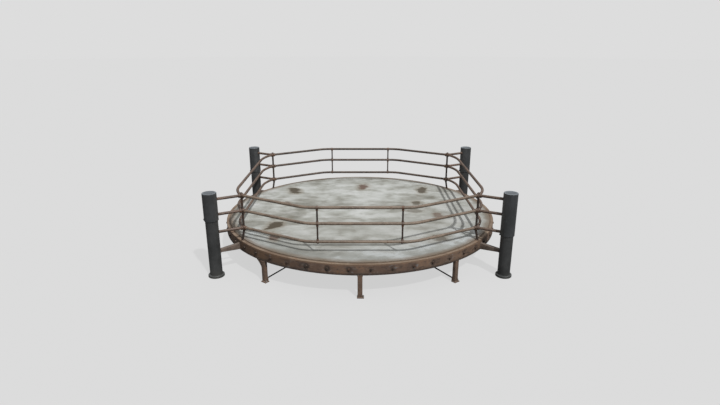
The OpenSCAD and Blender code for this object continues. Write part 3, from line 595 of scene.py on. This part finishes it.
# washer is a height, the others are shares of the head's size
boltHead = {"washer": 0.003, "washerFoot": 1.15, "washerTop": 1.1, "chamfer": 0.12}


def makeCaps():
    piece = bmesh.new()
    edge, base = sleeve["radius"], postTop - cap["height"]
    outline = [(0, base), (edge, base)]
    outline += arcPoints(edge - cap["round"], postTop - cap["round"], cap["round"], 0, 90, 5)
    outline += arcPoints(edge - cap["rim"], postTop - cap["dish"] / 2, cap["dish"] / 2, 90, 180, 3)
    outline += [(edge - cap["rim"] - cap["slope"], postTop - cap["dish"]),
                (0, postTop - cap["dish"] * cap["crown"])]
    shape = bmesh.new()
    turnedShape(shape, outline, postSides)
    capMesh = meshOf(shape)
    for middle in postMiddles.values():
        stamp(piece, capMesh, Matrix.Translation(middle))
    finishPiece("postCaps", piece, capPaint, "frame", ["post_caps"])


def hexHeadMesh(size, height):  # bolt head on a washer, standing on z = 0
    shape = bmesh.new()
    washer = boltHead["washer"]
    bmesh.ops.create_cone(shape, cap_ends=True, segments=20, radius1=size * boltHead["washerFoot"],
                          radius2=size * boltHead["washerTop"], depth=washer,
                          matrix=moved(0, 0, washer / 2))
    headVerts = bmesh.ops.create_cone(shape, cap_ends=True, segments=6, radius1=size, radius2=size,
                                      depth=height, matrix=moved(0, 0, washer + height / 2))["verts"]
    rim = [e for e in edgesOf(headVerts) if all(v.co.z > height for v in e.verts)]
    bevelEdges(shape, rim, size * boltHead["chamfer"], 1)
    return meshOf(shape)


def makeSleeves():
    piece = bmesh.new()
    edge, inner, top = sleeve["radius"], postRadius + jointGap, postTop - cap["height"]
    stopHead = hexHeadMesh(sleeve["stopSize"], sleeve["stopHeight"])
    for name, low in sleeve["lowEnds"].items():
        middle = postMiddles[name]
        outline = [(inner, low + sleeve["inset"])]
        outline += arcPoints(edge - sleeve["round"], low + sleeve["round"], sleeve["round"], -90, 0, 4)
        outline += [(edge, top), (inner, top)]
        shape = bmesh.new()
        turnedShape(shape, outline, postSides)
        stamp(piece, meshOf(shape), Matrix.Translation(middle))
        spot = middle + Vector((sleeve["inset"] - edge, 0, low + sleeve["stopUp"]))
        stamp(piece, stopHead, Matrix.Translation(spot) @ turned(-90, "Y"))
    finishPiece("postSleeves", piece, sleevePaint, "frame", ["post_sleeves"])


def makeFeet():
    piece = bmesh.new()
    inner, edge, rounding = postRadius + jointGap, foot["radius"], foot["round"]
    outline = [(inner, 0), (edge - foot["chamfer"], 0), (edge, foot["chamfer"])]
    outline += arcPoints(edge - rounding, foot["height"] - rounding, rounding, 0, 90, 5)
    outline += [(inner, foot["height"])]
    shape = bmesh.new()
    turnedShape(shape, outline, postSides)
    footMesh = meshOf(shape)
    for middle in postMiddles.values():
        stamp(piece, footMesh, Matrix.Translation(middle))
        ring = ringPoints(middle + up * foot["height"], up, postRadius + hair, 40)
        weldBead(piece, ring, foot["bead"], foot["beadPitch"])
    finishPiece("postFeet", piece, footPaint, "frame", ["post_feet"])


makeCaps()
makeSleeves()
makeFeet()
print("posts made")


# arms from the rim to the posts

arm = {"width": 0.044, "rim": (0.0, 0.078), "post": (0.020, 0.058), "round": 0.004, "sunk": 0.002,
       "atPost": 0.985, "bead": 0.005, "beadPitch": 0.007, "beadUp": 0.012}


def makeArms():
    piece = bmesh.new()
    for middle in postMiddles.values():
        outward = middle.normalized()
        reach = middle.length - postRadius * arm["atPost"]
        near, half = rimRadius - arm["sunk"], arm["width"] / 2
        shape = bmesh.new()
        for v in slab(shape, (near, -half, 0), (reach, half, 1)):
            ends = arm["post"] if v.co.x > (near + reach) / 2 else arm["rim"]
            v.co.z = lipLow + ends[1 if v.co.z > 0.5 else 0]
        bevelEdges(shape, shape.edges, arm["round"], 3)
        turn = Matrix.Rotation(math.atan2(outward.y, outward.x), 4, "Z")
        stamp(piece, meshOf(shape), turn)
        for x, low, high in ((rimRadius + hair, arm["rim"][0] + arm["beadUp"], arm["rim"][1]),
                             (reach - hair, *arm["post"])):
            corners = [(-half, low), (-half, high), (half, high), (half, low), (-half, low)]
            weldBead(piece, [turn @ Vector((x, y, lipLow + z)) for y, z in corners],
                     arm["bead"], arm["beadPitch"])
    finishPiece("postArms", piece, armPaint, "frame", ["post_arms"])


makeArms()
print("arms made")


# rim bolts

rimBolt = {"size": 0.0139, "height": 0.0104, "shank": 0.008, "grip": 0.0163, "nut": 0.0128,
           "nutChamfer": 0.0015, "tail": 0.016}


def makeRimBolts():
    piece = bmesh.new()
    head = hexHeadMesh(rimBolt["size"], rimBolt["height"])
    shape = bmesh.new()
    back = -rimBolt["grip"]
    nut = bmesh.ops.create_cone(shape, cap_ends=True, segments=6, radius1=rimBolt["size"],
                                radius2=rimBolt["size"], depth=rimBolt["nut"],
                                matrix=moved(0, 0, back - rimBolt["nut"] / 2))["verts"]
    rim = [e for e in edgesOf(nut) if all(v.co.z < back - 0.01 for v in e.verts)]
    bevelEdges(shape, rim, rimBolt["nutChamfer"], 1)
    bar(shape, Vector((0, 0, -jointGap)), Vector((0, 0, back - rimBolt["tail"])), rimBolt["shank"],
        sides=12)
    tail = meshOf(shape)
    for i in range(boltCount):
        turn = (i + 0.5) * 360 / boltCount
        spin = turned(37 * i % 60, "Z")  # heads stop at different turns
        place = turned(turn) @ moved(rimRadius, 0, boltHeight) @ turned(90, "Y")
        stamp(piece, head, place @ spin)
        stamp(piece, tail, place @ spin)
    finishPiece("rimBolts", piece, boltPaint, "frame", ["rim_bolts"])


makeRimBolts()
print("rim bolts made")


# legs

leg = {"width": 0.054, "depth": 0.042, "wall": 0.005, "round": 0.004, "out": 0.006, "footHeight": 0.010,
       "footDepth": 0.062, "footWidth": 0.077, "footShift": 0.0055, "footOut": 0.014, "headHeight": 0.008,
       "headIn": 0.006, "headOut": 0.002, "lugThick": 0.008, "lugHeight": 0.052, "plateRound": 0.0015,
       "bead": 0.0042, "beadPitch": 0.006, "beadIn": 0.004, "pitch": 37.6}
gusset = {"width": 0.084, "height": 0.096, "thick": 0.008, "in": 0.006, "down": 0.0005, "round": 0.001,
          "steps": 10, "hollow": (0.34, 0.42), "beadDown": 0.01}  # hollow: pull of the curve's middle
legAngles = {"leg_front_left": -90 - leg["pitch"], "leg_front": -90, "leg_front_right": -90 + leg["pitch"],
             "leg_back_left": 90 + leg["pitch"], "leg_back": 90, "leg_back_right": 90 - leg["pitch"]}
legOuter = rimRadius + leg["out"]
legInner = legOuter - leg["depth"]
legTop = lipLow - leg["headHeight"]


def makeLeg(name, angle, gussetSide):
    piece = bmesh.new()
    half, wall = leg["width"] / 2, leg["wall"]
    shape = bmesh.new()
    outline = [(legInner, -half), (legOuter, -half), (legOuter, half), (legInner, half),
               (legInner, half - wall), (legOuter - wall, half - wall),
               (legOuter - wall, wall - half), (legInner, wall - half)]
    face = shape.faces.new([shape.verts.new((x, y, leg["footHeight"])) for x, y in outline])
    grown = bmesh.ops.extrude_face_region(shape, geom=[face])["geom"]
    bmesh.ops.translate(shape, vec=(0, 0, legTop - leg["footHeight"]), verts=vertsIn(grown))
    upright = [e for e in shape.edges if abs(e.verts[0].co.z - e.verts[1].co.z) > 0.1
               and e.verts[0].co.x > legOuter - hair]
    bevelEdges(shape, upright, leg["round"], 3)
    stamp(piece, meshOf(shape), turned(angle))
    plates = bmesh.new()
    footEnd = legOuter + leg["footOut"]
    slab(plates, (footEnd - leg["footDepth"], leg["footShift"] - leg["footWidth"] / 2, 0),
         (footEnd, leg["footShift"] + leg["footWidth"] / 2, leg["footHeight"]), leg["plateRound"])
    slab(plates, (legInner - leg["headIn"], -half, legTop), (legOuter - leg["headOut"], half, lipLow), hair)
    slab(plates, (legInner - leg["lugThick"], -half, 0.0), (legInner, half, leg["lugHeight"]),
         leg["plateRound"])
    stamp(piece, meshOf(plates), turned(angle))
    if gussetSide:
        fin = bmesh.new()
        top = lipLow - gusset["down"]
        curve = []
        for i in range(gusset["steps"] + 1):
            t = i / gusset["steps"]
            across = gusset["width"] * (1 - t) ** 2 + 2 * t * (1 - t) * gusset["width"] * gusset["hollow"][0]
            down = 2 * t * (1 - t) * gusset["height"] * gusset["hollow"][1] + gusset["height"] * t ** 2
            curve.append((gussetSide * (half + across), top - down))
        edgeX = legOuter - gusset["in"] - gusset["thick"]
        corner = [(gussetSide * (half - hair), top)]
        face = fin.faces.new([fin.verts.new((edgeX, y, z)) for y, z in corner + curve])
        grown = bmesh.ops.extrude_face_region(fin, geom=[face])["geom"]
        bmesh.ops.translate(fin, vec=(gusset["thick"], 0, 0), verts=vertsIn(grown))
        bevelEdges(fin, fin.edges, gusset["round"], 1)
        stamp(piece, meshOf(fin), turned(angle))
        seam = [Vector((legOuter - gusset["in"], gussetSide * (half + hair), lipLow - down))
                for down in (gusset["beadDown"], gusset["height"])]
        weldBead(piece, [turned(angle) @ spot for spot in seam], leg["bead"], leg["beadPitch"])
    inside = legInner + leg["beadIn"]
    for z in (leg["footHeight"], legTop):
        corners = [(inside, -half), (legOuter, -half), (legOuter, half), (inside, half)]
        weldBead(piece, [turned(angle) @ Vector((x, y, z)) for x, y in corners],
                 leg["bead"], leg["beadPitch"])
    finishPiece(name.replace("leg_", "leg.").replace("_", "."), piece, legPaint, "frame", [name])


for legName, legAngle in legAngles.items():
    makeLeg(legName, legAngle, -1 if legName == "leg_front_left" else 0)

legBolt = {"size": 0.00866, "height": 0.0065, "in": 0.011, "aside": 0.012, "shank": 0.005, "past": 0.016}
anchor = {"size": 0.0069, "radius": 0.004, "height": 0.034, "aside": 0.009, "in": 0.006,
          "nut": 1.6, "tip": 0.75, "tipHeight": 0.001, "turn": 17}


def makeLegBolts():
    bolts, anchors = bmesh.new(), bmesh.new()
    head = hexHeadMesh(legBolt["size"], legBolt["height"])
    nut = hexHeadMesh(anchor["size"], anchor["radius"] * anchor["nut"])
    for angle in legAngles.values():
        for side in (-1, 1):
            place = turned(angle) @ moved(legInner + legBolt["in"], side * legBolt["aside"], 0)
            stamp(bolts, head, place @ moved(0, 0, legTop) @ turned(180, "X"))
            stamp(bolts, head, place @ moved(0, 0, lipHigh))
            shank = bmesh.new()
            bar(shank, up * legTop, up * (lipHigh + legBolt["past"]), legBolt["shank"], sides=12)
            stamp(bolts, meshOf(shank), place)
        place = turned(angle) @ moved(legOuter - anchor["in"], leg["width"] / 2 + anchor["aside"], 0)
        stud = bmesh.new()
        tipLow = up * (anchor["height"] - anchor["tipHeight"])
        bar(stud, up * 0, tipLow, anchor["radius"], sides=16)
        bar(stud, tipLow, up * anchor["height"], anchor["radius"], anchor["radius"] * anchor["tip"], 16)
        stamp(anchors, meshOf(stud), place)
        stamp(anchors, nut, place @ moved(0, 0, leg["footHeight"]) @ turned(anchor["turn"] + angle))
    finishPiece("legBolts", bolts, boltPaint, "frame", ["leg_bolts"])
    finishPiece("legAnchors", anchors, anchorZinc, "frame", ["leg_anchors"])


makeLegBolts()
print("legs made")


# corner fittings and clamps of the guard rails

def middleOf(spots):  # middle of some points, brought down to the ground
    total = sum(spots, Vector((0, 0, 0))) / len(spots)
    return Vector((total.x, total.y, 0))


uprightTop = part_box("corner_stanchions")[1].z
cornerPoint = middleOf([v.co for v in nodes["corner_stanchions"].data.vertices
                        if v.co.z > uprightTop - hair and v.co.x < 0 and v.co.y < 0])
knuckle = {"radius": 0.0232, "half": 0.0255, "ball": 0.0275, "socket": 0.0212, "reach": 0.040,
           "lip": 0.0232, "lipWidth": 0.007, "screw": 0.0052, "screwHeight": 0.005, "screwOut": 0.029,
           "screwDown": 0.0195, "railEnds": 0.033, "voxel": 0.0026}
clamp = {"radius": 0.022, "half": 0.012, "socket": 0.014, "reach": 0.034, "screw": 0.0045,
         "screwHeight": 0.004, "sunk": 0.001, "voxel": 0.0021}


def leaving(nodeName):  # direction along which a rail leaves the front left corner
    near = [v.co for v in nodes[nodeName].data.vertices
            if (v.co.xy - cornerPoint.xy).length < knuckle["railEnds"]]
    return (middleOf(near) - cornerPoint).normalized()


def makeCornerFittings():
    lump = bmesh.new()
    bar(lump, up * -knuckle["half"], up * knuckle["half"], knuckle["radius"], sides=40)
    bmesh.ops.create_uvsphere(lump, u_segments=40, v_segments=24, radius=knuckle["ball"])
    directions = [leaving("front_rail_low"), leaving("left_rail_low"), leaving("post_stubs")]
    for direction in directions:
        bar(lump, up * 0, direction * knuckle["reach"], knuckle["socket"], sides=40)
        bar(lump, direction * (knuckle["reach"] - knuckle["lipWidth"]), direction * knuckle["reach"],
            knuckle["lip"], sides=40)
    casting = melted(lump, knuckle["voxel"], 3)
    screw = hexHeadMesh(knuckle["screw"], knuckle["screwHeight"])
    piece = bmesh.new()
    for sideX in (1, -1):
        for sideY in (1, -1):
            mirror = Matrix.Diagonal((sideX, sideY, 1, 1))
            for level in railLevels:
                spot = mirror @ Matrix.Translation(cornerPoint + up * level)
                stamp(piece, casting, spot)
                for direction in directions:
                    below = direction * knuckle["screwOut"] - up * knuckle["screwDown"]
                    stamp(piece, screw, spot @ Matrix.Translation(below) @ turned(180, "X"))
    finishPiece("cornerFittings", piece, fittingPaint, "frame", ["corner_fittings"], 60)


def clampMesh(sides):
    lump = bmesh.new()
    bar(lump, Vector((-clamp["half"], 0, 0)), Vector((clamp["half"], 0, 0)), clamp["radius"], sides=40)
    for side in sides:
        bar(lump, up * 0, up * (side * clamp["reach"]), clamp["socket"], sides=32)
    return melted(lump, clamp["voxel"], 2)


def makeClamps():
    piece = bmesh.new()
    screw = hexHeadMesh(clamp["screw"], clamp["screwHeight"])
    kinds = [[1], [1, -1], [-1]]
    for level, sides in zip(railLevels, kinds):
        casting = clampMesh(sides)
        for x in (-midUprightX, midUprightX):
            for away in (-1, 1):
                spot = moved(x, away * midUprightY, level)
                stamp(piece, casting, spot)
                skin = moved(0, away * (clamp["radius"] - clamp["sunk"]), 0)
                stamp(piece, screw, spot @ skin @ turned(-90 * away, "X"))
    finishPiece("uprightClamps", piece, fittingPaint, "frame", ["stanchion_clamps"], 60)


makeCornerFittings()
makeClamps()
print("fittings made")


# welds where the short rails meet the posts, and under the corner uprights

weld = {"stubRing": 0.0175, "stubBead": 0.0042, "stubTube": 0.017, "sunk": 0.0005, "pitch": 0.007,
        "uprightRing": 0.0155, "uprightBead": 0.0045, "up": 0.006}


def makeWelds():
    piece = bmesh.new()
    for name, middle in postMiddles.items():
        corner = Vector((math.copysign(cornerPoint.x, middle.x), math.copysign(cornerPoint.y, middle.y), 0))
        line = (corner - middle).normalized()
        for level in railLevels:
            onSleeve = level + weld["stubTube"] > sleeve["lowEnds"][name]
            skin = sleeve["radius"] if onSleeve else postRadius
            spot = middle + up * level + line * (skin - weld["sunk"])
            weldBead(piece, ringPoints(spot, line, weld["stubRing"], 20), weld["stubBead"], weld["pitch"])
        spot = corner.normalized() * (rimRadius + deckRadius) / 2 + up * (ringTop + weld["up"])
        weldBead(piece, ringPoints(spot, up, weld["uprightRing"], 16), weld["uprightBead"], weld["pitch"])
    finishPiece("railWelds", piece, fittingPaint, "frame")


makeWelds()
print("welds made")


# tie rods under the deck

tie = {"radius": 0.008, "legHeight": 0.032, "hubHeight": 0.173, "hubRadius": 0.1175, "tail": 0.026,
       "nut": 0.0139, "nutHeight": 0.0128, "nutSet": 0.0041, "thread": 0.0084, "ridges": 14,
       "ridgePitch": 0.0035, "ridgeWidth": 0.0018, "firstRidge": 0.002, "collar": 1.5,
       "collarFrom": 0.13, "collarTo": 0.118}


def makeTies():
    piece = bmesh.new()
    nut = hexHeadMesh(tie["nut"], tie["nutHeight"])
    start = Vector((legInner - leg["lugThick"] / 2, 0, tie["legHeight"]))
    end = Vector((tie["hubRadius"], 0, tie["hubHeight"]))
    line = (end - start).normalized()
    shape = bmesh.new()
    bar(shape, start - line * tie["tail"], end, tie["radius"], sides=20)
    for i in range(tie["ridges"]):  # thread ridges on the tail
        spot = start + line * (i * tie["ridgePitch"] - tie["tail"] + tie["firstRidge"])
        bar(shape, spot, spot + line * tie["ridgeWidth"], tie["thread"], tie["radius"], 14)
    bar(shape, end - line * tie["collarFrom"], end - line * tie["collarTo"], tie["radius"] * tie["collar"])
    stamp(shape, nut, Matrix.Translation(start - line * tie["nutSet"]) @ along(line * -1))
    rod = meshOf(shape)
    for angle in legAngles.values():
        stamp(piece, rod, turned(angle))
    finishPiece("tieRods", piece, tieBlack, "frame", ["tie_rods"])


makeTies()
print("ties made")


# deck screws

screw = {"radius": 0.0095, "sink": 0.0045, "socket": 0.0036, "socketDepth": 0.0028, "length": 0.026,
         "shank": 0.005, "arms": 8, "rows": 4, "aside": 0.013, "first": 0.35, "last": 1.658, "turn": 23}


def pullLoop(shape, edges, height):  # pulls a loop of edges up or down into a wall
    geom = bmesh.ops.extrude_edge_only(shape, edges=edges)["geom"]
    bmesh.ops.translate(shape, vec=(0, 0, height), verts=vertsIn(geom))
    return vertsIn(geom), [g for g in geom if isinstance(g, bmesh.types.BMEdge)]


def capLoop(shape, verts):  # a face across a loop of points
    shape.faces.new(sorted(verts, key=lambda v: math.atan2(v.co.y, v.co.x)))


def makeDeckScrews():
    shape = bmesh.new()
    outer = bmesh.ops.create_circle(shape, segments=18, radius=screw["radius"])["verts"]
    inner = bmesh.ops.create_circle(shape, segments=6, radius=screw["socket"])["verts"]
    outerEdges, innerEdges = edgesOf(outer), edgesOf(inner)
    bmesh.ops.bridge_loops(shape, edges=outerEdges + innerEdges)
    capLoop(shape, pullLoop(shape, innerEdges, -screw["socketDepth"])[0])
    neck, neckEdges = pullLoop(shape, outerEdges, -screw["sink"])
    bmesh.ops.scale(shape, vec=(screw["shank"] / screw["radius"],) * 2 + (1,), verts=neck)
    capLoop(shape, pullLoop(shape, neckEdges, screw["sink"] - screw["length"])[0])
    screwMesh = meshOf(shape)
    piece = bmesh.new()
    for spoke in range(screw["arms"]):
        for row in range(screw["rows"]):
            for side in (-1, 1):
                reach = screw["first"] + row * (screw["last"] - screw["first"]) / (screw["rows"] - 1)
                place = turned(spoke * 360 / screw["arms"]) @ moved(reach, side * screw["aside"], deckTop)
                stamp(piece, screwMesh, place @ turned(screw["turn"] * (row + spoke)))
    finishPiece("deckScrews", piece, deckSteel, "deck", ["deck_bolts"])


makeDeckScrews()
print("deck screws made")


# floor, light and camera

studio = {"floorRadius": 90, "floorDown": 0.0006, "floorColour": tint(221, 221, 221), "floorGlow": 0.83,
          "floorBase": (0.13, 0.13, 0.13, 1), "skyHigh": 0.50, "skyLow": 0.16, "skyFrom": -0.3,
          "skyTo": 0.7, "sun": 2.1, "sunFrom": (0.42, -0.72, 1.0), "sunAngle": 1.9}


def makeFloor():
    shape = bmesh.new()
    bmesh.ops.create_circle(shape, cap_ends=True, segments=96, radius=studio["floorRadius"],
                            matrix=moved(0, 0, -studio["floorDown"]))
    mesh = bpy.data.meshes.new("floor")
    shape.to_mesh(mesh)
    shape.free()
    paint = Paint("floorPaper")
    shader = paint.tree.nodes["Principled BSDF"]
    shader.inputs["Emission Color"].default_value = studio["floorColour"]
    shader.inputs["Emission Strength"].default_value = studio["floorGlow"]
    mesh.materials.append(paint.finish(studio["floorBase"], 1.0, specular=0.0))
    floor = bpy.data.objects.new("floor", mesh)
    bpy.context.scene.collection.objects.link(floor)
    floor.visible_diffuse = False
    floor.visible_glossy = False


def makeWorld():
    world = bpy.data.worlds.new("studio")
    bpy.context.scene.world = world
    sky = Paint("sky", world)
    direction = sky.node("ShaderNodeTexCoord", {}, {}, "Generated")
    height = sky.node("ShaderNodeSeparateXYZ", {}, {0: direction}, "Z")
    strength = sky.node("ShaderNodeMapRange", {}, {
        "Value": height, "From Min": studio["skyFrom"], "From Max": studio["skyTo"],
        "To Min": studio["skyLow"], "To Max": studio["skyHigh"]})
    light = sky.node("ShaderNodeBackground", {}, {"Strength": strength})
    seen = sky.node("ShaderNodeBackground", {}, {"Color": studio["floorColour"]})
    straight = sky.node("ShaderNodeLightPath", {}, {}, "Is Camera Ray")
    mixed = sky.node("ShaderNodeMixShader", {}, {0: straight, 1: light, 2: seen})
    sky.tree.links.new(mixed.socket, sky.tree.nodes["World Output"].inputs["Surface"])


def makeSun():
    sun = bpy.data.lights.new("key", "SUN")
    sun.energy = studio["sun"]
    sun.angle = math.radians(studio["sunAngle"])
    lamp = bpy.data.objects.new("key", sun)
    bpy.context.scene.collection.objects.link(lamp)
    lamp.rotation_mode = "QUATERNION"
    lamp.rotation_quaternion = Vector(studio["sunFrom"]).to_track_quat("Z", "Y")


view = {"place": (0, -6.766, 2.685), "lookAt": (0, 0, 0.5095), "lens": 25.08, "sensor": 36, "reach": 300}


def makeCamera():
    lens = bpy.data.cameras.new("camera")
    lens.sensor_width = view["sensor"]
    lens.lens = view["lens"]
    lens.clip_end = view["reach"]
    camera = bpy.data.objects.new("camera", lens)
    bpy.context.scene.collection.objects.link(camera)
    camera.location = view["place"]
    camera.rotation_mode = "QUATERNION"
    camera.rotation_quaternion = (Vector(view["lookAt"]) - Vector(view["place"])).to_track_quat("-Z", "Y")
    bpy.context.scene.camera = camera


makeFloor()
makeWorld()
makeSun()
makeCamera()
bpy.context.scene.view_settings.view_transform = "Standard"
print("studio made")
